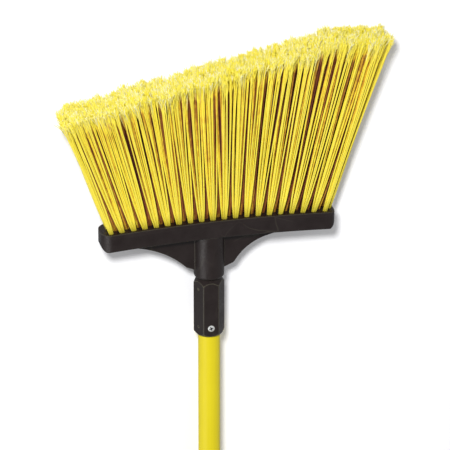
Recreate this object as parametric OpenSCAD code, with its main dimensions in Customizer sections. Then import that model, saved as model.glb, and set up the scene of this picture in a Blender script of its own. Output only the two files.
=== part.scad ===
// Upright angle broom: a crowned moulded head with fanned, slant-cut bristle tufts on a handle
// that screws in through a hexagonal collar, with a swivelling loop on its free end.
//
// The sub-parts are drawn upright, with the handle on the Z axis, the socket's mouth at Z = 0 and
// the broad front face towards -Y. lay() then turns the broom onto its back: +Y runs from the
// loop to the bristles, +Z leaves the front face, and the origin is the centre of the loop's hole.

/* [Head] */
// Length of the bar that holds the tufts
bar_length = 240; // [220:1:270]
// Depth of the bar, front to back
bar_depth = 32; // [28:1:40]
// Height of the bar, from its lower face to the deck
bar_height = 18.6; // [17:0.1:22]
// Height of the bar's lower face over the socket's mouth, at mid-length
bar_rise = 47.4; // [44:0.1:56]
// How far the bar's middle lies to the long-bristle side of the handle
bar_offset = 7.8; // [0:0.1:10]
// Radius of the crown along the bar
crown_radius = 1800; // [1500:50:3000]
// Radius of the bar's long edges
edge_radius = 1.6; // [1:0.1:2.5]
// Radius of the bar's corners in plan, at the short-bristle end
end_radius_short = 12.5; // [6:0.5:14]
// Radius of the bar's corners in plan, at the long-bristle end
end_radius_long = 8; // [6:0.5:9]
// Radius of the bar's lower corner, seen from the front, at the short-bristle end
corner_radius_short = 7; // [5:0.5:12]
// Radius of the bar's lower corner, seen from the front, at the long-bristle end
corner_radius_long = 10; // [5:0.5:12]
// Thickness of the web between the bar and the socket
web_thickness = 6.5; // [6:0.5:12]

/* [Socket] */
// Outer radius of the socket
socket_radius = 15.5; // [15:0.1:16]
// Radius of the socket's mouth, where its rounded end stops
mouth_radius = 11.7; // [11:0.1:13]
// Depth of the threaded hole
socket_depth = 30; // [28:1:34]

/* [Tufts] */
// Number of tufts in each row
tufts_per_row = 20; // [16:1:20]
// Distance between tufts along a row
tuft_pitch = 11.59; // [11:0.01:11.8]
// Distance between rows
row_gap = 6.5; // [6.4:0.1:6.6]
// Radius of a tuft where it leaves its hole
tuft_radius = 2.7; // [2:0.1:2.8]
// Depth of a tuft's hole
hole_depth = 11; // [9:0.5:12]
// Outward lean of the first tuft, in degrees
fan_short_side = 19.8; // [12:0.1:20]
// Outward lean of the last tuft, in degrees
fan_long_side = 17.3; // [12:0.1:20]
// Lean of the outer rows towards the front and back, in degrees
flare = 2.7; // [2.5:0.1:3]
// How much a tuft's radius grows for each millimetre of its length
spread = 0.0225; // [0.01:0.0005:0.023]
// Height of the trimmed tips over the socket's mouth, on the handle's axis
trim_height = 221; // [200:1:230]
// Slope of the trim, rise over run
trim_slope = 0.205; // [0.15:0.005:0.22]
// Distance from the handle's axis at which the slant cut turns level
trim_turn = 128; // [110:1:150]

/* [Handle] */
// Length from the loop's tip to the collar's shoulder
handle_length = 1219; // [900:1:1500]
// Outer radius of the tube
tube_radius = 11.1; // [10.5:0.1:11.3]
// Wall of the tube
tube_wall = 1; // [0.8:0.1:1.5]
// Length of tube inside the collar
tube_insertion = 42; // [35:1:48]

/* [Collar] */
// Length of the hexagonal body
collar_length = 62.4; // [58:0.1:70]
// Width across the flats
collar_flats = 27.4; // [26.8:0.1:28]
// Radius that takes the points off the hexagon
collar_radius = 15.65; // [15:0.05:15.7]
// Turn of the front facet from the head's front, in degrees
collar_turn = -4.5; // [-30:0.5:30]
// Height of the screw over the collar's lower end
screw_height = 9.5; // [8:0.5:12]

/* [Thread] */
// Rise of the thread in one turn
thread_pitch = 5.08; // [5:0.01:5.2]
// Radius over the spigot's thread
thread_radius = 9.4; // [9.3:0.05:9.5]
// Radius of the spigot under its thread
core_radius = 7; // [6.8:0.1:7]
// Length of the spigot
spigot_length = 25; // [22:0.5:26]
// Clearance round the thread
thread_clearance = 0.38; // [0.3:0.02:0.4]

/* [Loop] */
// Radius of the hole that the broom hangs by
hang_radius = 5.5; // [4:0.1:6]
// Outer radius of the loop's eye
eye_radius = 10.4; // [9.5:0.1:10.6]
// Thickness of the loop
loop_thickness = 6; // [5:0.5:8]
// Distance from the eye's centre to the shoulder that bears on the washer
loop_neck = 20; // [16:1:26]
// Radius of the loop's stem
stem_radius = 3; // [2.5:0.1:3.5]

/* [Hidden] */
ROWS = 4;
TUFT_ROWS = [for (r = [1:ROWS]) str("tuft_row_", r)];
ANCHOR_ROWS = [for (r = [1:ROWS]) str("wire_anchors_", r)];

$fn = 96;
FINE = 720; // sides on the large crown circles, where one side is still a short chord
EPS = 0.01;

PLASTIC = [0.16, 0.15, 0.15];
BRISTLE = [0.97, 0.87, 0.16];
YELLOW = [0.95, 0.86, 0.12];
ZINC = [0.78, 0.79, 0.8];

// Head
bar_top = bar_rise + bar_height;
crown_centre = bar_top - crown_radius; // the lower face is concentric, so it is crowned as well
WEB_SINK = 4; // how far the web and the socket run up into the bar
web_top = bar_rise + WEB_SINK;
DECK_BEVEL = [0.8, 3.6]; // depth and height of the bevel under the deck's long edges

// Web: an arc on each side, then a straight run-out that meets the bar
WEB_FOOT = [15, 9.4];
WEB_LIP = [24, 13];
ARC_SHORT = [-90.5, -51];
ARC_SHORT_RADIUS = 92.3;
ARC_LONG = [72, -13.3];
ARC_LONG_RADIUS = 54;
RUN_OUT_SLOPE = 14; // degrees

// Tufts
ROWS_SHIFT = 2.7; // the tufts sit a little towards the bar's long-bristle end
first_x = bar_offset + ROWS_SHIFT - (tufts_per_row - 0.5) * tuft_pitch / 2;
last_x = first_x + (tufts_per_row - 0.5) * tuft_pitch;
STRAIGHT = 1.5; // length over the deck before a tuft starts to spread
LONGEST = 240;
LEVEL_SLOPE = -0.06; // past the turn the cut falls a little
TRIM_REACH = 260;

// Wire anchors: flat plates that hold each folded tuft down in its hole
ANCHOR = [7.6, 0.45, 2.2];
ANCHOR_LIFT = 0.5; // between the anchor and the hole's floor

// Thread
ROOT_WIDTH = 2.9;
CREST_WIDTH = 1.6;
THREAD_SIDES = 24; // facets in one turn
thread_start = 2;
ENGAGED_TURNS = 4.25;
BITE = 0.15; // how far a thread's root is sunk into the wall that carries it
SOCKET_LEAD = 14; // facets by which the socket's ridge starts later, clear of its mouth
SOCKET_FLOOR = 3; // length at the bottom of the hole that the ridge does not use

// Collar, tube and screw; every fit in here is face to face
SHOULDER_GAP = 0.3;
shoulder_z = -SHOULDER_GAP;
collar_bottom = shoulder_z - collar_length;
tube_top = collar_bottom + tube_insertion;
SWAGE = 0.2; // by which the tube's end is drawn down inside the collar
seat_radius = tube_radius - SWAGE;
SHOULDER_RADIUS = 11.5;
SHOULDER_HEIGHT = 5.8;
FOOT_RADIUS = 13.2;
FOOT_HEIGHT = 2.8;
HEAD_RADIUS = 3.3;
HEAD_SEAT = 0.9;
HEAD_PROUD = 0.7;
SCREW_SHANK = 1.6;
SCREW_REACH = 7;
RECESS = [1.2, 4.2, 2.6]; // width, length and depth of one bar of the screw's cross
RECESS_TURN = 20;
SIDE_FACET = -60; // the facet with the pilot hole and the dimple
DIMPLE_RADIUS = 1.1; // of the pilot hole as well
DIMPLE_DROP = 11;
DIMPLE_DEPTH = 0.5;
PILOT_DEPTH = 3;

// Loop end
hang_z = shoulder_z - handle_length + eye_radius;
loop_shoulder = hang_z + loop_neck;
WASHER_THICKNESS = 1;
WASHER_RADIUS = 7.5;
END_GAP = 0.3;
plug_face = loop_shoulder + WASHER_THICKNESS + 2 * END_GAP;
PLUG_FLANGE = 3;
PLUG_LENGTH = 24;
tube_bottom = plug_face + PLUG_FLANGE;
RUNNING = 0.05; // radial clearance of the stem in the plug and the washer
CLIP_THICKNESS = 0.8;
CLIP_RADIUS = 6.5;
STEM_PAST_CLIP = 2;
clip_z = tube_bottom + PLUG_LENGTH + END_GAP;

// Turns the upright broom onto its back, with the hang hole's centre at the origin
module lay() {
    rotate([-90, 0, 0]) translate([0, 0, -hang_z]) children();
}

// A flat shape drawn in X and Z, made thick about the plane Y = 0
module upright(thickness) {
    translate([0, thickness / 2, 0]) rotate([90, 0, 0]) linear_extrude(thickness) children();
}

// Head ---------------------------------------------------------------------------------------

function deck_z(x) = crown_centre + sqrt(pow(crown_radius, 2) - pow(x - bar_offset, 2));

function row_y(row) = (row - (ROWS + 1) / 2) * row_gap;

function tuft_x(row, i) = first_x + i * tuft_pitch + (row % 2 == 0 ? tuft_pitch / 2 : 0);

function lean_x(x) = -fan_short_side
    + (x - first_x) / (last_x - first_x) * (fan_short_side + fan_long_side);

function lean_y(row) = flare * (row - (ROWS + 1) / 2) / ((ROWS - 1) / 2);

// Puts its children where tuft i of a row leaves the deck, with Z along the tuft
module at_tuft(row, i) {
    x = tuft_x(row, i);
    tilt = -atan(tan(lean_y(row)) * cos(lean_x(x)));
    translate([x, row_y(row), deck_z(x)]) rotate([tilt, lean_x(x), 0]) children();
}

module rounded_section(depth, height, r) {
    square([depth - 2 * r, height], center = true);
    square([depth, height - 2 * r], center = true);
    for (sx = [-1, 1], sy = [-1, 1])
        translate([sx * (depth / 2 - r), sy * (height / 2 - r)]) circle(r);
}

// The bar's section, with the deck's side at the bottom
module bar_section() {
    edge = bar_depth / 2;
    deck = -bar_height / 2;
    intersection() {
        rounded_section(bar_depth, bar_height, edge_radius);
        polygon([
            for (side = [-1, 1]) [side * (edge - DECK_BEVEL.x), deck],
            [edge, deck + DECK_BEVEL.y], [edge, -deck], [-edge, -deck], [-edge, deck + DECK_BEVEL.y]
        ]);
    }
}

// The bar's section swept along its crown
module crowned_bar() {
    sweep = 2 * asin(bar_length / 2 / (crown_radius - bar_height)) + 1;
    translate([bar_offset, 0, crown_centre])
        rotate([90, 0, 0])
            rotate([0, 0, 90 - sweep / 2])
                rotate_extrude(angle = sweep, $fn = FINE)
                    translate([crown_radius - bar_height / 2, 0])
                        rotate(90)
                            bar_section();
}

// The bar's outline seen from above
module plan_outline() {
    for (end = [[-1, end_radius_short], [1, end_radius_long]]) {
        r = end[1];
        flat = bar_length / 2 - r;
        for (sy = [-1, 1]) translate([end[0] * flat, sy * (bar_depth / 2 - r)]) circle(r);
        translate([end[0] * flat / 2, 0]) square([flat, bar_depth], center = true);
        translate([end[0] * (flat + r / 2), 0]) square([r, bar_depth - 2 * r], center = true);
    }
}

// The bar's outline seen from the front: square above, with rounded lower corners
module front_outline() {
    half = bar_length / 2;
    low = deck_z(bar_offset + half) - bar_height;
    translate([bar_offset, 0])
        for (end = [[-1, corner_radius_short], [1, corner_radius_long]]) {
            r = end[1];
            translate([end[0] * half / 2, low + r + bar_height])
                square([half, 2 * bar_height], center = true);
            translate([end[0] * (half - r) / 2, low + bar_height])
                square([half - r, 2 * bar_height], center = true);
            translate([end[0] * (half - r), low + r]) circle(r);
        }
}

module bar() {
    intersection() {
        crowned_bar();
        translate([bar_offset, 0, bar_rise - bar_height]) linear_extrude(3 * bar_height) plan_outline();
        upright(2 * bar_depth) front_outline();
    }
}

// Where the straight run-out leaves an arc; side is -1 for the short-bristle side
function arc_end(centre, radius, side) = centre
    + radius * [-side * sin(RUN_OUT_SLOPE), cos(RUN_OUT_SLOPE)];

function run_out(centre, radius, side) = let (p = arc_end(centre, radius, side))
    [p.x + side * (bar_rise - p.y) / tan(RUN_OUT_SLOPE), bar_rise];

module web_outline() {
    out_long = run_out(ARC_LONG, ARC_LONG_RADIUS, 1);
    out_short = run_out(ARC_SHORT, ARC_SHORT_RADIUS, -1);
    difference() {
        polygon([
            [-WEB_LIP.x, WEB_LIP.y], [-WEB_FOOT.x, WEB_FOOT.y], WEB_FOOT, WEB_LIP,
            arc_end(ARC_LONG, ARC_LONG_RADIUS, 1), out_long, [out_long.x, web_top],
            [out_short.x, web_top], out_short, arc_end(ARC_SHORT, ARC_SHORT_RADIUS, -1)
        ]);
        translate(ARC_SHORT) circle(ARC_SHORT_RADIUS, $fn = 4 * $fn);
        translate(ARC_LONG) circle(ARC_LONG_RADIUS, $fn = 4 * $fn);
    }
}

// The socket's round outside, rounded in towards its mouth
module socket_barrel() {
    round_height = 4;
    rotate_extrude()
        polygon([
            [0, 0], [mouth_radius, 0],
            for (a = [0:15:90])
                [mouth_radius + (socket_radius - mouth_radius) * sin(a), round_height * (1 - cos(a))],
            [socket_radius, web_top], [0, web_top]
        ]);
}

// A ridge of trapezium section wound right-handed round Z, as ring after ring of four corners
module helical_ridge(r_inner, r_outer, inner_width, outer_width, z_start, turns, first_side = 0) {
    rings = round(turns * THREAD_SIDES);
    points = [
        for (i = [0:rings])
            let (a = 360 * (first_side + i) / THREAD_SIDES, z = z_start + thread_pitch * i / THREAD_SIDES)
                for (corner = [
                    [r_inner, -inner_width / 2], [r_outer, -outer_width / 2],
                    [r_outer, outer_width / 2], [r_inner, inner_width / 2]
                ])
                    [corner.x * cos(a), corner.x * sin(a), z + corner.y]
    ];
    sides = [
        for (i = [0:rings - 1], k = [0:3])
            let (a = 4 * i + k, b = 4 * i + (k + 1) % 4)
                for (face = [[a, a + 4, b], [b, a + 4, b + 4]])
                    face
    ];
    last = 4 * rings;
    polyhedron(points, concat([[0, 1, 2, 3]], sides, [[last + 3, last + 2, last + 1, last]]));
}

// The socket's ridge fills what the spigot's ridge and the clearance leave of each turn
module socket_thread() {
    c = thread_clearance;
    turns = floor((socket_depth - SOCKET_FLOOR) / thread_pitch);
    color(PLASTIC)
        helical_ridge(
            core_radius + c, thread_radius + c + BITE,
            thread_pitch - ROOT_WIDTH - 2 * c, thread_pitch - CREST_WIDTH - 2 * c,
            thread_start - thread_pitch / 2 + SOCKET_LEAD * thread_pitch / THREAD_SIDES,
            turns - SOCKET_LEAD / THREAD_SIDES, SOCKET_LEAD
        );
}

// The anchor of one tuft, in that tuft's own frame
module anchor() {
    translate([0, 0, -hole_depth + ANCHOR_LIFT + ANCHOR.z / 2]) cube(ANCHOR, center = true);
}

module head_block() {
    color(PLASTIC)
        difference() {
            union() {
                bar();
                upright(web_thickness) web_outline();
                socket_barrel();
            }
            translate([0, 0, -EPS]) cylinder(socket_depth + EPS, r = thread_radius + thread_clearance);
            for (row = [1:ROWS], i = [0:tufts_per_row - 1])
                at_tuft(row, i) {
                    translate([0, 0, -hole_depth]) cylinder(2 * hole_depth, r = tuft_radius);
                    anchor();
                }
        }
}

// Everything under the slant cut that the bristles are trimmed to
module trim_outline() {
    turn_z = trim_height + trim_slope * trim_turn;
    polygon([
        [-TRIM_REACH, 0], [TRIM_REACH, 0],
        [TRIM_REACH, turn_z + LEVEL_SLOPE * (TRIM_REACH - trim_turn)],
        [trim_turn, turn_z],
        [-TRIM_REACH, trim_height - trim_slope * TRIM_REACH]
    ]);
}

module tuft() {
    rotate_extrude()
        polygon([
            [0, -hole_depth], [tuft_radius, -hole_depth], [tuft_radius, STRAIGHT],
            [tuft_radius + spread * (LONGEST - STRAIGHT), LONGEST], [0, LONGEST]
        ]);
}

module tuft_row(row) {
    color(BRISTLE)
        intersection() {
            for (i = [0:tufts_per_row - 1])
                at_tuft(row, i)
                    difference() {
                        tuft();
                        anchor();
                    }
            upright(4 * bar_depth) trim_outline();
        }
}

module wire_anchors(row) {
    color(ZINC)
        for (i = [0:tufts_per_row - 1])
            at_tuft(row, i) anchor();
}

// Collar -------------------------------------------------------------------------------------

// Puts its children on the front facet, or on the facet at a turn from it, with Z out of the facet
module at_facet(turn, z) {
    rotate([0, 0, collar_turn + turn]) translate([0, -collar_flats / 2, z]) rotate([90, 0, 0]) children();
}

module collar_body() {
    intersection() {
        rotate([0, 0, collar_turn])
            translate([0, 0, collar_bottom])
                cylinder(collar_length, r = collar_flats / sqrt(3), $fn = 6);
        rotate_extrude()
            polygon([
                [0, collar_bottom], [FOOT_RADIUS, collar_bottom],
                [collar_radius, collar_bottom + FOOT_HEIGHT],
                [collar_radius, shoulder_z - SHOULDER_HEIGHT],
                [SHOULDER_RADIUS, shoulder_z], [0, shoulder_z]
            ]);
    }
}

module spigot() {
    tip_chamfer = 1;
    translate([0, 0, shoulder_z - EPS])
        cylinder(spigot_length - tip_chamfer + EPS, r = core_radius);
    translate([0, 0, shoulder_z + spigot_length - tip_chamfer])
        cylinder(tip_chamfer, r1 = core_radius, r2 = core_radius - tip_chamfer);
}

module spigot_thread() {
    color(PLASTIC)
        helical_ridge(
            core_radius - BITE, thread_radius, ROOT_WIDTH, CREST_WIDTH, thread_start, ENGAGED_TURNS
        );
}

module screw_hole() {
    translate([0, 0, -HEAD_SEAT]) cylinder(2 * HEAD_SEAT, r = HEAD_RADIUS);
    translate([0, 0, -SCREW_REACH]) cylinder(SCREW_REACH, r = SCREW_SHANK);
}

module hex_collar() {
    color(PLASTIC)
        difference() {
            union() {
                collar_body();
                spigot();
            }
            translate([0, 0, collar_bottom - EPS]) cylinder(tube_insertion + EPS, r = seat_radius);
            at_facet(0, collar_bottom + screw_height) screw_hole();
            at_facet(SIDE_FACET, collar_bottom + screw_height)
                cylinder(2 * PILOT_DEPTH, r = DIMPLE_RADIUS, center = true);
            at_facet(SIDE_FACET, shoulder_z - DIMPLE_DROP)
                cylinder(2 * DIMPLE_DEPTH, r = DIMPLE_RADIUS, center = true);
        }
}

module collar_screw() {
    dome = (pow(HEAD_RADIUS, 2) + pow(HEAD_PROUD, 2)) / (2 * HEAD_PROUD);
    color(ZINC)
        at_facet(0, collar_bottom + screw_height)
            difference() {
                union() {
                    intersection() {
                        translate([0, 0, -HEAD_SEAT]) cylinder(HEAD_SEAT + HEAD_PROUD, r = HEAD_RADIUS);
                        translate([0, 0, HEAD_PROUD - dome]) sphere(dome, $fn = 4 * $fn);
                    }
                    translate([0, 0, -SCREW_REACH]) cylinder(SCREW_REACH - HEAD_SEAT + EPS, r = SCREW_SHANK);
                }
                for (turn = [0, 90])
                    rotate(RECESS_TURN + turn) translate([0, 0, HEAD_PROUD]) cube(RECESS, center = true);
            }
}

// Handle -------------------------------------------------------------------------------------

module handle_tube() {
    color(YELLOW)
        difference() {
            union() {
                translate([0, 0, tube_bottom]) cylinder(collar_bottom - tube_bottom, r = tube_radius);
                translate([0, 0, tube_bottom]) cylinder(tube_top - tube_bottom, r = seat_radius);
            }
            translate([0, 0, tube_bottom - 1])
                cylinder(tube_top - tube_bottom + 2, r = tube_radius - tube_wall);
            at_facet(0, collar_bottom + screw_height)
                translate([0, 0, -SCREW_REACH]) cylinder(SCREW_REACH, r = SCREW_SHANK);
        }
}

module end_plug() {
    chamfer = 0.8;
    color(PLASTIC)
        difference() {
            rotate_extrude()
                polygon([
                    [0, plug_face], [tube_radius - chamfer, plug_face], [tube_radius, plug_face + chamfer],
                    [tube_radius, tube_bottom], [tube_radius - tube_wall, tube_bottom],
                    [tube_radius - tube_wall, tube_bottom + PLUG_LENGTH - 1],
                    [tube_radius - tube_wall - 1, tube_bottom + PLUG_LENGTH],
                    [0, tube_bottom + PLUG_LENGTH]
                ]);
            translate([0, 0, plug_face - 1])
                cylinder(PLUG_FLANGE + PLUG_LENGTH + 2, r = stem_radius + RUNNING);
        }
}

module swivel_washer() {
    color(ZINC)
        translate([0, 0, loop_shoulder + END_GAP])
            difference() {
                cylinder(WASHER_THICKNESS, r = WASHER_RADIUS);
                translate([0, 0, -1]) cylinder(WASHER_THICKNESS + 2, r = stem_radius + RUNNING);
            }
}

module hang_loop() {
    shoulder_radius = 8.5;
    shoulder_height = 4;
    neck_width = 13;
    stem_end = clip_z + CLIP_THICKNESS + STEM_PAST_CLIP;
    color(PLASTIC)
        difference() {
            union() {
                upright(loop_thickness) {
                    translate([0, hang_z]) circle(eye_radius);
                    translate([-neck_width / 2, hang_z]) square([neck_width, loop_neck - 1]);
                }
                translate([0, 0, loop_shoulder - shoulder_height])
                    cylinder(shoulder_height, r1 = neck_width / 2, r2 = shoulder_radius);
                translate([0, 0, loop_shoulder - EPS])
                    cylinder(stem_end - loop_shoulder + EPS, r = stem_radius);
            }
            translate([0, 0, hang_z]) rotate([90, 0, 0])
                cylinder(4 * loop_thickness, r = hang_radius, center = true);
        }
}

module stem_clip() {
    color(ZINC)
        translate([0, 0, clip_z])
            difference() {
                cylinder(CLIP_THICKNESS, r = CLIP_RADIUS);
                translate([0, 0, -1]) cylinder(CLIP_THICKNESS + 2, r = stem_radius);
            }
}

// Assembly -----------------------------------------------------------------------------------

lay() head_block();
lay() socket_thread();
for (row = [1:ROWS]) {
    lay() tuft_row(row);
    lay() wire_anchors(row);
}
lay() hex_collar();
lay() spigot_thread();
lay() collar_screw();
lay() handle_tube();
lay() end_plug();
lay() swivel_washer();
lay() hang_loop();
lay() stem_clip();
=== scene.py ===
"""Looks for the upright angle broom.

Every tuft gets its real filaments, and each moulding, tube and screw gets its finish.
"""

import math
import random

import bmesh
import bpy
import numpy as np
from mathutils import Matrix, Vector


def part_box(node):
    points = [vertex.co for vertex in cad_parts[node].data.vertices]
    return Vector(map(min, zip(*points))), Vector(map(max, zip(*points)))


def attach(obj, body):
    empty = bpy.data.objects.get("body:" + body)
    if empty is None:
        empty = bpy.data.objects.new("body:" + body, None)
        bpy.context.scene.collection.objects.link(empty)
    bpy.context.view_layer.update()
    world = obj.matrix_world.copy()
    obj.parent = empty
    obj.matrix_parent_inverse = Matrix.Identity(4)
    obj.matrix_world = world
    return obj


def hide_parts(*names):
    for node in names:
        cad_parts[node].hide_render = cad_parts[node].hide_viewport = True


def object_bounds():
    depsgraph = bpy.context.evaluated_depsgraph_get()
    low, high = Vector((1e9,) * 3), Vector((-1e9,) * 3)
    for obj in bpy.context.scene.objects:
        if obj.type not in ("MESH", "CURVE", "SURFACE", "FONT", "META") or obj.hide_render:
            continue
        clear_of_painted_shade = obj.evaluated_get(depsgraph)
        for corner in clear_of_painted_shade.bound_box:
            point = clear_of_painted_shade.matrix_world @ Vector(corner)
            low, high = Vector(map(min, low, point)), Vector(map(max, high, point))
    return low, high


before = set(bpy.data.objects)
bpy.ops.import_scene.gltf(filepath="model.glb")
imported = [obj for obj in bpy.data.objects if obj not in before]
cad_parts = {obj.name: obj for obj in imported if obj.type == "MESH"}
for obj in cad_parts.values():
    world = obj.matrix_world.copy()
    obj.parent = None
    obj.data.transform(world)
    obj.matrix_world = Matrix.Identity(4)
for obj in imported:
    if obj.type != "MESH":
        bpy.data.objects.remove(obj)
cad_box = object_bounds()

MM = 0.001

# Filaments -----------------------------------------------------------------------------------
ROWS = 4
FIRST_SEED = 100  # each row's own seed is this and its number
CLUMPS = 10  # in each tuft, of filaments that keep together
STRANDS_PER_CLUMP = 3
STRAND_POINTS = 9
STRAND_SIDES = 6
STRAND_RADIUS = 0.55 * MM
STRAND_END_RADIUS = 0.3 * MM
WELD = 0.005 * MM  # corners nearer than this to each other are one corner
END_BAND = 14 * MM  # a tuft's trimmed end lies within this of its farthest corner
HOLE_START = 3 * MM  # above the anchor, where the modelled part of a strand begins
DECK_RISE = 9 * MM  # from the anchor to the deck, along the tuft
GOLDEN_ANGLE = math.pi * (3 - math.sqrt(5))
TURN_SCATTER = 0.3  # radians, of a place in a bundle
RADIUS_SCATTER = 0.9, 1.04  # shares of the even radius
BUNDLE_RADIUS = 2.15 * MM  # of the outermost strands' centres where they leave the hole
CLUMP_RADIUS = 0.6 * MM
CLUMP_LOOSENS = 1.5 * MM  # how much wider a clump is at its flagged end
LOOSENS_POWER = 4  # most of it comes late
SPREAD_SIDE = 7.3 * MM  # growth of the bundle's radius from its hole to its tip, along the row
SPREAD_FACE = 4.8 * MM  # and across the rows
SPREAD_POWER = 0.48  # most of it comes early
END_PINCH = 0.2  # share of that growth that a row's two end tufts have on their outer side
DOME = 2.4 * MM  # how much lower the rim of a tuft's end is than its middle
TRIM_SCATTER = 0.9 * MM
TUFT_SCATTER = 0.8 * MM
BOW = 1.3 * MM  # sideways wander of a clump at its tip
STRAND_BOW = 0.35 * MM
TUFT_SWAY = 1.2 * MM
RIPPLE = 0.3 * MM
RIPPLE_TURN = 5  # radians, from the hole to the tip
FLOOR_GAP = 0.8 * MM  # strands that would reach the floor are pressed up to here

# Flagged ends
HAIRS_PER_STRAND = 6
HAIR_POINTS = 5
HAIR_SIDES = 4
HAIR_RADIUS = 0.32 * MM
HAIR_END_RADIUS = 0.24 * MM
HAIR_SHORTEST = 7 * MM
HAIR_LONGEST = 31 * MM
HAIR_LENGTH_POWER = 1.6  # more of them are short than long
HAIR_SPLAY = 2.2 * MM  # sideways at the end
HAIR_WANDER = 0.5 * MM
HAIR_CURL = 1.9 * MM
HAIR_CURL_POWER = 5  # only the end curls
HAIR_OWN_TONE = 0.35  # share of a hair's tone that isn't its strand's

# The "along" value runs over the first range on a strand, and over the second on its hairs
STRAND_ALONG = 0.0, 1.0
HAIR_ALONG = 1.2, 2.0

# How far inside the brush a filament counts as fully hidden and gets the full painted shade, from each
# of its outer faces
FULL_SHADE_FROM_FACE = 16 * MM
FULL_SHADE_FROM_END = 16 * MM
FULL_SHADE_FROM_TIPS = 40 * MM
LONG_TUFT = 170 * MM  # over which the brush's outer faces take up the tufts' spread


def middle(points):
    return sum(points, Vector()) / len(points)


def solids(node):
    """The corners of each separate solid in a CAD node, from the short-bristle side on."""
    shape = bmesh.new()
    shape.from_mesh(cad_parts[node].data)
    bmesh.ops.remove_doubles(shape, verts=shape.verts, dist=WELD)
    found, seen = [], set()
    for first in shape.verts:
        if first in seen:
            continue
        seen.add(first)
        solid = [first]
        for vert in solid:
            for near in (edge.other_vert(vert) for edge in vert.link_edges):
                if near not in seen:
                    seen.add(near)
                    solid.append(near)
        found.append([vert.co.copy() for vert in solid])
    shape.free()
    return sorted(found, key=lambda points: middle(points).x)


def tuft_axes(row):
    """(anchor centre, middle of the trimmed end) of each tuft in a row, from the CAD nodes."""
    axes = []
    for anchor, tuft in zip(solids(f"wire_anchors_{row}"), solids(f"tuft_row_{row}"), strict=True):
        root = middle(anchor)
        reach = max((p - root).length for p in tuft)
        axes.append((root, middle([p for p in tuft if (p - root).length > reach - END_BAND])))
    return axes


def trim_line(row):
    """(x, height) along the slant cut, which every tuft's highest corner lies on."""
    crests = [max(tuft, key=lambda p: p.y) for tuft in solids(f"tuft_row_{row}")]
    return [p.x for p in crests], [p.y for p in crests]


def across(axis):
    """Two directions square to a tuft's axis, the second one out of the broom's broad face."""
    side = axis.cross(Vector((0, 0, 1))).normalized()
    return side, side.cross(axis).normalized()


def disc_place(k, count, rng):
    """Place k of count spread evenly over a unit disc, with a little scatter."""
    turn = k * GOLDEN_ANGLE + rng.uniform(-TURN_SCATTER, TURN_SCATTER)
    r = math.sqrt((k + 0.5) / count) * rng.uniform(*RADIUS_SCATTER)
    return r * math.cos(turn), r * math.sin(turn)


def pressed_up(point):
    """Filaments under the broom lie on the floor, not in it."""
    point.z = max(point.z, cad_box[0].z + FLOOR_GAP)
    return point


def strand_path(root, tip, pinch, clump, place, sway, trim, rng):
    """Points along one filament, from inside its hole to the slant cut."""
    axis = (tip - root).normalized()
    side, face = across(axis)
    reach = (tip - root).length
    u, v = clump["place"]
    bend = [rng.gauss(0, STRAND_BOW) + clump["bend"][k] + sway[k] for k in (0, 1)]
    ripple_size, ripple_start = rng.gauss(0, RIPPLE), rng.uniform(0, 2 * math.pi)
    drop = DOME * (u**2 + v**2) + rng.gauss(0, TRIM_SCATTER) + sway[2]
    spread_side = pinch[u > 0] * SPREAD_SIDE

    def at(along):
        free = max(along - DECK_RISE, 0)
        s = free / (reach - DECK_RISE)
        growth = s**SPREAD_POWER
        r_side = BUNDLE_RADIUS - CLUMP_RADIUS + spread_side * growth
        r_face = BUNDLE_RADIUS - CLUMP_RADIUS + SPREAD_FACE * growth
        own = CLUMP_RADIUS + CLUMP_LOOSENS * s**LOOSENS_POWER
        ripple = ripple_size * math.sin(RIPPLE_TURN * s + ripple_start) * s
        return pressed_up(
            root
            + axis * along
            + side * (u * r_side + place[0] * own + bend[0] * s * s + ripple)
            + face * (v * r_face + place[1] * own + bend[1] * s * s)
        )

    end = at(reach)
    length = reach + (float(np.interp(end.x, *trim)) - drop - end.y) / axis.y
    steps = STRAND_POINTS - 1
    return [at(HOLE_START + (length - HOLE_START) * k / steps) for k in range(STRAND_POINTS)]


def tuft_strands(root, tip, pinch, trim, rng):
    """Every filament of one tuft, clump by clump."""
    sway = rng.gauss(0, TUFT_SWAY), rng.gauss(0, TUFT_SWAY), rng.gauss(0, TUFT_SCATTER)
    strands = []
    for c in range(CLUMPS):
        clump = {"place": disc_place(c, CLUMPS, rng), "bend": (rng.gauss(0, BOW), rng.gauss(0, BOW))}
        for k in range(STRANDS_PER_CLUMP):
            place = disc_place(k, STRANDS_PER_CLUMP, rng)
            strands.append(strand_path(root, tip, pinch, clump, place, sway, trim, rng))
    return strands


def hair_path(strand, rng):
    """A fine split end that leaves a filament near its tip and curls over at the cut."""
    heading = (strand[-1] - strand[-2]).normalized()
    length = HAIR_SHORTEST + (HAIR_LONGEST - HAIR_SHORTEST) * rng.random() ** HAIR_LENGTH_POWER
    start = strand[-1] - heading * (length + rng.gauss(0, TRIM_SCATTER))
    side, face = across(heading)

    def sideways():
        turn = rng.uniform(0, 2 * math.pi)
        return side * math.cos(turn) + face * math.sin(turn)

    lean = sideways() * abs(rng.gauss(0, HAIR_SPLAY)) / length
    curl = sideways() * HAIR_CURL
    points = []
    for k in range(HAIR_POINTS):
        s = k / (HAIR_POINTS - 1)
        wander = Vector([rng.gauss(0, HAIR_WANDER) for _ in range(3)]) * s
        path = start + (heading + lean) * length * s
        points.append(pressed_up(path + curl * s**HAIR_CURL_POWER + wander))
    return points


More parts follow.
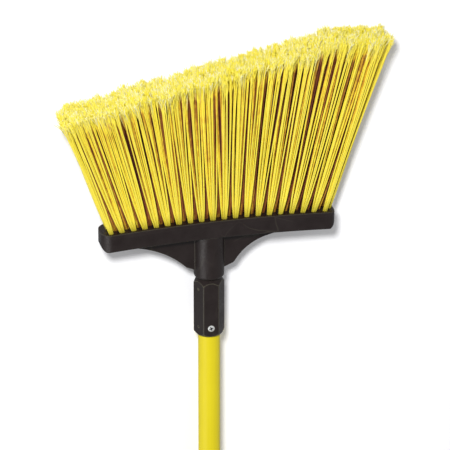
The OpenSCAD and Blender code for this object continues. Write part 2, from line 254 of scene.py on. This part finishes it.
def strand_tubes(name, paths, radii, sides):
    """One mesh of thin open tubes along the paths, swept by a bevelled curve."""
    curve = bpy.data.curves.new(name, "CURVE")
    curve.dimensions = "3D"
    curve.bevel_depth = 1.0
    curve.bevel_resolution = sides // 2 - 2
    curve.use_fill_caps = False
    for path in paths:
        spline = curve.splines.new("POLY")
        spline.points.add(len(path) - 1)
        spline.points.foreach_set("co", [c for p in path for c in (*p, 1)])
        spline.points.foreach_set("radius", radii)
    sweep = bpy.data.objects.new(name, curve)
    bpy.context.scene.collection.objects.link(sweep)
    graph = bpy.context.evaluated_depsgraph_get()
    mesh = bpy.data.meshes.new_from_object(sweep.evaluated_get(graph))
    bpy.data.objects.remove(sweep)
    bpy.data.curves.remove(curve)
    return mesh


def write_strand_values(mesh, tones, points, along_range):
    """Writes each strand's tone, and how far along a strand each vertex lies."""
    per_strand = len(mesh.vertices) // len(tones)
    ring = per_strand // points
    along = np.repeat(np.linspace(*along_range, points), ring)
    tone = mesh.attributes.new("tone", "FLOAT", "POINT")
    tone.data.foreach_set("value", np.repeat(tones, per_strand).astype(np.float32))
    place = mesh.attributes.new("along", "FLOAT", "POINT")
    place.data.foreach_set("value", np.tile(along, len(tones)).astype(np.float32))


def edge_line(tufts, sign):
    """(x at the anchor, its height, outward lean) of the outermost tuft on one side."""
    root, tip = max(tufts, key=lambda axis: sign * axis[0].x)
    return root.x, root.y, (tip.x - root.x) / (tip.y - root.y)


def write_depth(mesh, axes, trim):
    """Writes how deep inside the brush each vertex lies, for the filaments' painted shade: 0 on its
    outside, 1 where it is hidden.
    """
    co = np.empty(3 * len(mesh.vertices))
    mesh.vertices.foreach_get("co", co)
    x, y, z = co.reshape(-1, 3).T
    outer = [axis for row in (1, ROWS) for axis in axes[row]]
    everything = [axis for tufts in axes.values() for axis in tufts]
    height = y - min(root.y for root, _ in everything) - DECK_RISE
    foot = max(abs(root.z) for root, _ in outer)
    flare = np.mean([(abs(tip.z) - abs(root.z)) / (tip.y - root.y) for root, tip in outer])
    share = np.clip(height / LONG_TUFT, 0, 1) ** SPREAD_POWER
    face = foot + flare * height + BUNDLE_RADIUS + SPREAD_FACE * share
    inside = [(face - abs(z)) / FULL_SHADE_FROM_FACE]
    for sign in (-1, 1):
        root_x, root_y, lean = edge_line(everything, sign)
        edge = root_x + lean * (y - root_y) + sign * (BUNDLE_RADIUS + END_PINCH * SPREAD_SIDE * share)
        inside.append(sign * (edge - x) / FULL_SHADE_FROM_END)
    inside.append((np.interp(x, *trim) - y) / FULL_SHADE_FROM_TIPS)
    # painted shade: how deep each vertex lies sets how dark the filament material paints it
    depth = mesh.attributes.new("depth", "FLOAT", "POINT")
    depth.data.foreach_set("value", np.clip(np.min(inside, axis=0), 0, 1).astype(np.float32))


def close_ends(mesh):
    """Caps every open tube."""
    shape = bmesh.new()
    shape.from_mesh(mesh)
    rims = [edge for edge in shape.edges if edge.is_boundary]
    bmesh.ops.holes_fill(shape, edges=rims, sides=STRAND_SIDES)
    shape.to_mesh(mesh)
    shape.free()


def bristle_row(row, axes, material):
    """Every filament and flagged end of one row of tufts, as one piece."""
    rng = random.Random(FIRST_SEED + row)
    trim = trim_line(row)
    last = len(axes[row]) - 1
    strands = []
    for i, (root, tip) in enumerate(axes[row]):
        pinch = [END_PINCH if at_end else 1 for at_end in (i == 0, i == last)]
        strands += tuft_strands(root, tip, pinch, trim, rng)
    hairs = [hair_path(strand, rng) for strand in strands for _ in range(HAIRS_PER_STRAND)]
    tones = [rng.random() for _ in strands]
    hair_tones = [
        (1 - HAIR_OWN_TONE) * tone + HAIR_OWN_TONE * rng.random()
        for tone in tones
        for _ in range(HAIRS_PER_STRAND)
    ]

    taper = [STRAND_RADIUS] * (STRAND_POINTS - 1) + [STRAND_END_RADIUS]
    body = strand_tubes("strands", strands, taper, STRAND_SIDES)
    write_strand_values(body, tones, STRAND_POINTS, STRAND_ALONG)
    hair_taper = np.linspace(HAIR_RADIUS, HAIR_END_RADIUS, HAIR_POINTS)
    fine = strand_tubes("hairs", hairs, list(hair_taper), HAIR_SIDES)
    write_strand_values(fine, hair_tones, HAIR_POINTS, HAIR_ALONG)

    piece = bpy.data.objects.new(f"bristles_{row}", body)
    fluff = bpy.data.objects.new("fluff", fine)
    for part in (piece, fluff):
        write_depth(part.data, axes, trim)
        close_ends(part.data)
        bpy.context.scene.collection.objects.link(part)
        part.data.shade_smooth()
        part.data.materials.append(material)
    with bpy.context.temp_override(active_object=piece, selected_editable_objects=[piece, fluff]):
        bpy.ops.object.join()
    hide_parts(f"tuft_row_{row}")
    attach(piece, "head")


# Shader tools --------------------------------------------------------------------------------


def set_inputs(tree, node, inputs):
    """Sets a node's inputs, each given by its name or place: a socket is linked, a value is set."""
    for key, value in inputs.items():
        if isinstance(value, bpy.types.NodeSocket):
            tree.links.new(value, node.inputs[key])
        else:
            node.inputs[key].default_value = value


def add(tree, kind, inputs=None, **settings):
    """A node with its settings and inputs."""
    node = tree.nodes.new(kind)
    for key, value in settings.items():
        setattr(node, key, value)
    set_inputs(tree, node, inputs or {})
    return node


def new_group(name, inputs, outputs):
    """A shader node group with numbers as inputs; returns it with its input and output nodes."""
    group = bpy.data.node_groups.new(name, "ShaderNodeTree")
    for label, value in inputs.items():
        socket = group.interface.new_socket(label, in_out="INPUT", socket_type="NodeSocketFloat")
        socket.default_value = value
    for label, kind in outputs.items():
        group.interface.new_socket(label, in_out="OUTPUT", socket_type=kind)
    return group, group.nodes.new("NodeGroupInput"), group.nodes.new("NodeGroupOutput")


def new_material(name):
    material = bpy.data.materials.new(name)
    material.use_nodes = True
    tree = material.node_tree
    return material, tree, tree.nodes["Principled BSDF"]


def maths(tree, operation, a, b=0.0):
    return add(tree, "ShaderNodeMath", {0: a, 1: b}, operation=operation).outputs[0]


def average(tree, a, b):
    return maths(tree, "ADD", maths(tree, "MULTIPLY", a, 0.5), maths(tree, "MULTIPLY", b, 0.5))


def scaled(tree, vector, factor):
    return add(tree, "ShaderNodeVectorMath", {0: vector, "Scale": factor}, operation="SCALE").outputs[0]


def remap(tree, value, source, result=(0.0, 1.0)):
    """Takes the source's two ends to the result's, and holds the value between them."""
    ends = {"From Min": source[0], "From Max": source[1], "To Min": result[0], "To Max": result[1]}
    return add(tree, "ShaderNodeMapRange", {"Value": value, **ends}).outputs[0]


def blend(tree, factor, first, second):
    """The first colour where the factor is 0, and the second where it is 1."""
    return add(tree, "ShaderNodeMix", {0: factor, 6: first, 7: second}, data_type="RGBA").outputs[2]


def ramp(tree, factor, stops):
    """A colour ramp from (position, colour) stops."""
    node = add(tree, "ShaderNodeValToRGB", {0: factor})
    elements = node.color_ramp.elements
    while len(elements) < len(stops):
        elements.new(0.5)
    for element, (position, colour) in zip(elements, stops):
        element.position = position
        element.color = (*colour, 1)
    return node.outputs[0]


def object_place(tree, scale=(1, 1, 1)):
    coordinates = add(tree, "ShaderNodeTexCoord").outputs["Object"]
    return add(tree, "ShaderNodeMapping", {"Vector": coordinates, "Scale": scale}).outputs[0]


def noise(tree, place, scale, detail, roughness=0.55):
    inputs = {"Vector": place, "Scale": scale, "Detail": detail, "Roughness": roughness}
    return add(tree, "ShaderNodeTexNoise", inputs).outputs["Fac"]


def bumped(tree, height, strength, distance, normal=None):
    """The normal over a bumpy surface, on top of another normal if one is given."""
    inputs = {"Height": height, "Strength": strength, "Distance": distance}
    if normal:
        inputs["Normal"] = normal
    return add(tree, "ShaderNodeBump", inputs).outputs[0]


# Finishes ------------------------------------------------------------------------------------
EDGE_TURN = 1.0, 0.9  # cosine between the flat and the rounded normal, off an edge and on it

MOULDING_SHADES = [(0.3, (0.0115, 0.0068, 0.0062)), (0.75, (0.0205, 0.0145, 0.0135))]
MOULDING_ROUGHNESS = 0.26, 0.56
MOULDING_RELIEF = 0.36, 0.64  # the grain's range of heights
MOULDED_EDGE = 1.3 * MM
RUBBED_AND_EDGE_HIGHLIGHT = (0.15, 0.142, 0.095, 1)  # the moulding's paler colour along its scuffs, which are wear, and along its edges, a painted highlight that is partly wear
SCUFF_WIDTH = 0.022  # of the size of the cells that the scuffs' hairlines run between
SCUFF_BEND = 0.05  # how far a hairline wanders from straight
SCUFF_PATCHES = 0.52, 0.7  # of the clouds that keep the scuffs in patches
SCUFF_WEAR = 0.2
# how strongly the edges take that pale colour: a painted highlight, partly wear
HEAD_EDGE_WEAR_AND_HIGHLIGHT = 0.35
COLLAR_EDGE_WEAR_AND_HIGHLIGHT = 0.85

COATING_SHADES = [(0.3, (0.69, 0.57, 0.012)), (0.7, (0.76, 0.635, 0.016))]
COATING_ROUGHNESS = 0.34, 0.5
STREAK_SHAPE = (900, 6, 900)  # long and thin along the handle

ZINC_SHADES = [(0.3, (0.62, 0.63, 0.62)), (0.7, (0.82, 0.83, 0.82))]
ZINC_ROUGHNESS = 0.24, 0.45
ZINC_EDGE = 0.15 * MM
# painted shade in the screw head's cross recess
RECESS_PAINTED_SHADE = (0.02, 0.02, 0.02, 1)
CROSS_REACH = 0.68  # of the screw head's radius, how far its cross recess reaches
CROSS_FACE = 0.5 * MM  # below the top of the head, where the recess starts to get its painted shade

# A filament's colour by how deep it lies in the brush: its own yellow on the outside, then painted
# shade in brown and maroon where it is hidden
SHAFT_YELLOW_AND_PAINTED_SHADE = [
    (0.05, (0.91, 0.78, 0.08)),
    (0.31, (0.93, 0.78, 0.055)),
    (0.43, (0.74, 0.44, 0.035)),
    (0.55, (0.36, 0.13, 0.03)),
    (0.76, (0.19, 0.05, 0.028)),
    (1.0, (0.10, 0.024, 0.024)),
]
# A flagged end's colour by its tone
FLAG_SHADES = [
    (0.1, (0.82, 0.7, 0.028)),
    (0.5, (0.81, 0.74, 0.13)),
    (0.9, (0.84, 0.83, 0.6)),
]
DRAWN_UNEVENNESS = 0.35  # how far a filament's own patches shift where it lies on that ramp of colour and painted shade
TONE_SHIFT = 0.16  # and how far its tone does
FLAG_PALES = 1.25, 1.8  # the stretch of "along" over which a flagged end turns pale
FLAG_LOST_TO_SHADE = 1.6  # how soon, with how deep it lies, it loses that colour to the painted shade
FILAMENT_DULLS = 0.8, 1.3  # the stretch of "along" over which the gloss goes
FILAMENT_ROUGHNESS = 0.34, 0.75


def edge_group():
    """Soft edges: a rounded normal, and a mask that is 1 along the edges that it rounds."""
    outputs = {"Normal": "NodeSocketVector", "Edge": "NodeSocketFloat"}
    group, given, out = new_group("soft_edges", {"Radius": MOULDED_EDGE}, outputs)
    rounded = add(group, "ShaderNodeBevel", {"Radius": given.outputs["Radius"]}, samples=6).outputs[0]
    flat = add(group, "ShaderNodeNewGeometry").outputs["Normal"]
    cosine = add(group, "ShaderNodeVectorMath", {0: rounded, 1: flat}, operation="DOT_PRODUCT")
    edge = remap(group, cosine.outputs["Value"], EDGE_TURN)
    set_inputs(group, out, {"Normal": rounded, "Edge": edge})
    return group


def moulded_group():
    """Satin moulded surface: cloudy gloss and fine grain, and patches of hairline scuffs."""
    outputs = {"Cloud": "NodeSocketFloat", "Scuff": "NodeSocketFloat", "Height": "NodeSocketFloat"}
    group, given, out = new_group("moulded_surface", {"Scale": 1.0}, outputs)
    place = scaled(group, object_place(group), given.outputs["Scale"])
    cloud = noise(group, place, scale=55, detail=5, roughness=0.62)
    grain = noise(group, place, scale=480, detail=3, roughness=0.65)
    warp = add(group, "ShaderNodeTexNoise", {"Vector": place, "Scale": 14}).outputs["Color"]
    push = scaled(group, warp, SCUFF_BEND)
    bent = add(group, "ShaderNodeVectorMath", {0: place, 1: push}, operation="ADD").outputs[0]
    cells = {"Vector": bent, "Scale": 34}
    lines = add(group, "ShaderNodeTexVoronoi", cells, feature="DISTANCE_TO_EDGE")
    hairline = remap(group, lines.outputs["Distance"], (SCUFF_WIDTH, 0.0))
    patch = remap(group, noise(group, place, scale=11, detail=2), SCUFF_PATCHES)
    scuff = maths(group, "MULTIPLY", hairline, patch)
    set_inputs(group, out, {"Cloud": cloud, "Scuff": scuff, "Height": average(group, grain, cloud)})
    return group


SOFT_EDGES = edge_group()
MOULDED = moulded_group()


def black_moulding(name, edge_wear_and_highlight):
    """Satin black polypropylene with pale hairline scuffs, and lighter edges that carry a painted
    highlight as well as a little wear.
    """
    material, tree, shader = new_material(name)
    surface = add(tree, "ShaderNodeGroup", node_tree=MOULDED).outputs
    edges = add(tree, "ShaderNodeGroup", {"Radius": MOULDED_EDGE}, node_tree=SOFT_EDGES).outputs
    relief = surface["Height"]
    scuffed = maths(tree, "MULTIPLY", surface["Scuff"], SCUFF_WEAR)
    # painted highlight along the edges, partly wear
    lit_and_worn_edges = maths(tree, "MULTIPLY", edges["Edge"], edge_wear_and_highlight)
    base = ramp(tree, surface["Cloud"], MOULDING_SHADES)
    inputs = {
        "Base Color": blend(tree, maths(tree, "MAXIMUM", scuffed, lit_and_worn_edges), base, RUBBED_AND_EDGE_HIGHLIGHT),
        "Roughness": remap(tree, relief, MOULDING_RELIEF, MOULDING_ROUGHNESS),
        "Normal": bumped(tree, relief, strength=1.0, distance=0.5 * MM, normal=edges["Normal"]),
        "Specular IOR Level": 0.36,
    }
    set_inputs(tree, shader, inputs)
    return material


def yellow_coating():
    """Glossy yellow coating drawn over a steel tube, with faint lengthwise streaks."""
    material, tree, shader = new_material("yellow_coating")
    streaks = noise(tree, object_place(tree, STREAK_SHAPE), scale=1.0, detail=3)
    clouds = noise(tree, object_place(tree), scale=16, detail=3)
    both = average(tree, streaks, clouds)
    peel = noise(tree, object_place(tree), scale=420, detail=2)
    inputs = {
        "Base Color": ramp(tree, both, COATING_SHADES),
        "Roughness": remap(tree, both, (0.0, 1.0), COATING_ROUGHNESS),
        "Normal": bumped(tree, peel, strength=0.12, distance=0.1 * MM),
        "Specular IOR Level": 0.2,
    }
    set_inputs(tree, shader, inputs)
    return material


def recess_shade_mask(tree, centre, radius, face):
    """1 within a radius of the Z line through the centre and below a face, whose height is from it:
    where a recess gets painted shade.
    """
    offset = add(tree, "ShaderNodeVectorMath", {0: object_place(tree), 1: centre}, operation="SUBTRACT")
    x, y, z = add(tree, "ShaderNodeSeparateXYZ", {0: offset.outputs[0]}).outputs
    squares = maths(tree, "ADD", maths(tree, "POWER", x, 2), maths(tree, "POWER", y, 2))
    inside = maths(tree, "LESS_THAN", maths(tree, "POWER", squares, 0.5), radius)
    return maths(tree, "MULTIPLY", inside, maths(tree, "LESS_THAN", z, face))


def zinc_plate(name, shaded_recess=None):
    """Bright zinc plating with a fine grain, with painted shade inside a recess if one is given."""
    material, tree, shader = new_material(name)
    edges = add(tree, "ShaderNodeGroup", {"Radius": ZINC_EDGE}, node_tree=SOFT_EDGES).outputs
    grain = noise(tree, object_place(tree), scale=1500, detail=4)
    colour = ramp(tree, grain, ZINC_SHADES)
    if shaded_recess:
        # painted shade in the recess
        colour = blend(tree, recess_shade_mask(tree, *shaded_recess), colour, RECESS_PAINTED_SHADE)
    inputs = {
        "Base Color": colour,
        "Roughness": remap(tree, grain, (0.0, 1.0), ZINC_ROUGHNESS),
        "Normal": edges["Normal"],
        "Metallic": 0.45,
    }
    set_inputs(tree, shader, inputs)
    return material


def screw_recess():
    """The screw head's cross recess, where the plating gets painted shade: the middle of its top, the
    cross's reach and the face.
    """
    lo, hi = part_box("collar_screw")
    radius = (hi.x - lo.x) / 2
    return Vector(((lo.x + hi.x) / 2, (lo.y + hi.y) / 2, hi.z)), CROSS_REACH * radius, -CROSS_FACE


def bristle_filament():
    """Drawn yellow filament with painted shade, warm brown, where the brush hides it, and pale at its
    flagged end.
    """
    material, tree, shader = new_material("bristle_filament")
    tone, along, depth = (
        add(tree, "ShaderNodeAttribute", attribute_name=name).outputs["Fac"]
        for name in ("tone", "along", "depth")
    )
    drawn = noise(tree, object_place(tree), scale=120, detail=2)
    uneven = maths(tree, "MULTIPLY", maths(tree, "SUBTRACT", drawn, 0.5), DRAWN_UNEVENNESS)
    shift = maths(tree, "ADD", uneven, maths(tree, "MULTIPLY", tone, TONE_SHIFT))
    # painted shade: the filament darkens to brown and maroon the deeper it lies in the brush
    shaded_shaft = ramp(tree, maths(tree, "ADD", depth, shift), SHAFT_YELLOW_AND_PAINTED_SHADE)
    flag = ramp(tree, tone, FLAG_SHADES)
    # the pale flagged end gives way to the painted shade deep in the brush
    clear_of_painted_shade = maths(tree, "SUBTRACT", 1.0, maths(tree, "MULTIPLY", depth, FLAG_LOST_TO_SHADE))
    pale = maths(tree, "MULTIPLY", remap(tree, along, FLAG_PALES), maths(tree, "MAXIMUM", clear_of_painted_shade, 0.0))
    inputs = {
        "Base Color": blend(tree, pale, shaded_shaft, flag),
        "Roughness": remap(tree, along, FILAMENT_DULLS, FILAMENT_ROUGHNESS),
    }
    set_inputs(tree, shader, inputs)
    return material


def finish_node(name, material):
    """Gives a CAD node's own mesh a finish."""
    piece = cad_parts[name]
    if not piece.material_slots:
        piece.data.materials.append(material)
    for slot in piece.material_slots:
        slot.material = material


# Stage ---------------------------------------------------------------------------------------
YAW = math.radians(14.5)  # the long-bristle side is farther from the camera
RISE = math.radians(25)  # how far the camera stands above the plane square to the handle
CAMERA_DISTANCE = 4.0
VIEW_WIDTH = 0.45
SENSOR = 36.0
LOOK_AT = Vector((16.7, 53.8, 0)) * MM  # from the middle of the socket's mouth

FLOOR_WIDTH = 12
FLOOR_DROP = 0.5 * MM  # below the broom
FLOOR_WHITE = (0.93, 0.93, 0.94, 1)
FLOOR_GLOW = 0.08
SKY = (0.97, 0.975, 1, 1)
SKY_STRENGTH = 0.38

LAMP_DISTANCE = 3
KEY_LEFT = 0.28
KEY_UP = 0.46
KEY_SIZE = 0.5
KEY_POWER = 95
SHEEN_TURN = math.radians(22)  # round the socket, from the side that faces the camera to its sheen
SHEEN_SIZE = 1.9
SHEEN_POWER = 26

mouth = Vector((0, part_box("head_block")[0].y, 0))
target = mouth + LOOK_AT
right = Vector((math.cos(YAW), 0, math.sin(YAW)))
up = Vector((math.sin(RISE) * math.sin(YAW), math.cos(RISE), -math.sin(RISE) * math.cos(YAW)))
back = right.cross(up)


def add_camera():
    """A long lens that looks down on the head, with the handle straight up the picture."""
    lens = bpy.data.cameras.new("camera")
    lens.sensor_width = SENSOR
    lens.lens = SENSOR * CAMERA_DISTANCE / VIEW_WIDTH
    camera = bpy.data.objects.new("camera", lens)
    camera.rotation_mode = "QUATERNION"
    camera.location = target + back * CAMERA_DISTANCE
    camera.rotation_quaternion = Matrix((right, up, back)).transposed().to_quaternion()
    bpy.context.scene.collection.objects.link(camera)
    bpy.context.scene.camera = camera


def pale_floor():
    """A plain white floor under the broom."""
    lo, hi = cad_box
    place = (lo.x + hi.x) / 2, (lo.y + hi.y) / 2, lo.z - FLOOR_DROP
    bpy.ops.mesh.primitive_plane_add(size=FLOOR_WIDTH, location=place)
    floor = bpy.context.object
    floor.name = "floor"
    material, tree, shader = new_material("pale_floor")
    inputs = {
        "Base Color": FLOOR_WHITE,
        "Roughness": 0.9,
        "Specular IOR Level": 0.1,
        "Emission Color": (1, 1, 1, 1),
        "Emission Strength": FLOOR_GLOW,
    }
    set_inputs(tree, shader, inputs)
    floor.data.materials.append(material)
    floor.visible_glossy = False


def soft_light(name, place, size, power, glossy):
    """A round lamp that faces the target, and gives either the gloss or the light."""
    light = bpy.data.lights.new(name, "AREA")
    light.shape = "DISK"
    light.size = size
    light.energy = power
    lamp = bpy.data.objects.new(name, light)
    lamp.location = place
    lamp.rotation_mode = "QUATERNION"
    lamp.rotation_quaternion = (target - place).to_track_quat("-Z", "Y")
    lamp.visible_glossy = glossy
    lamp.visible_diffuse = not glossy
    bpy.context.scene.collection.objects.link(lamp)


def light_stage():
    """A pale sky, a key lamp for the light and a side lamp for the gloss."""
    world = bpy.data.worlds.new("studio")
    world.use_nodes = True
    set_inputs(world.node_tree, world.node_tree.nodes["Background"], {0: SKY, 1: SKY_STRENGTH})
    bpy.context.scene.world = world
    bpy.context.scene.view_settings.view_transform = "Standard"
    front = target - right * KEY_LEFT + up * KEY_UP + back * LAMP_DISTANCE
    soft_light("front", front, KEY_SIZE, KEY_POWER, glossy=False)
    # where the round socket and the tube mirror it to the camera, a little to the left of their middle
    turn = YAW + 2 * SHEEN_TURN
    level = math.cos(RISE)
    mirrored = Vector((-level * math.sin(turn), -math.sin(RISE), level * math.cos(turn)))
    soft_light("side", target + mirrored * LAMP_DISTANCE, SHEEN_SIZE, SHEEN_POWER, glossy=True)


add_camera()
light_stage()
pale_floor()

BLACK = black_moulding("black_moulding", HEAD_EDGE_WEAR_AND_HIGHLIGHT)
COLLAR_BLACK = black_moulding("collar_moulding", COLLAR_EDGE_WEAR_AND_HIGHLIGHT)
ZINC = zinc_plate("zinc_plate")
for node in ("head_block", "socket_thread", "end_plug", "hang_loop"):
    finish_node(node, BLACK)
for node in ("hex_collar", "spigot_thread"):
    finish_node(node, COLLAR_BLACK)
finish_node("collar_screw", zinc_plate("screw_zinc", screw_recess()))
for node in ("swivel_washer", "stem_clip", *(f"wire_anchors_{r}" for r in range(1, ROWS + 1))):
    finish_node(node, ZINC)
finish_node("handle_tube", yellow_coating())

FILAMENT = bristle_filament()
AXES = {row: tuft_axes(row) for row in range(1, ROWS + 1)}
for row in AXES:
    bristle_row(row, AXES, FILAMENT)
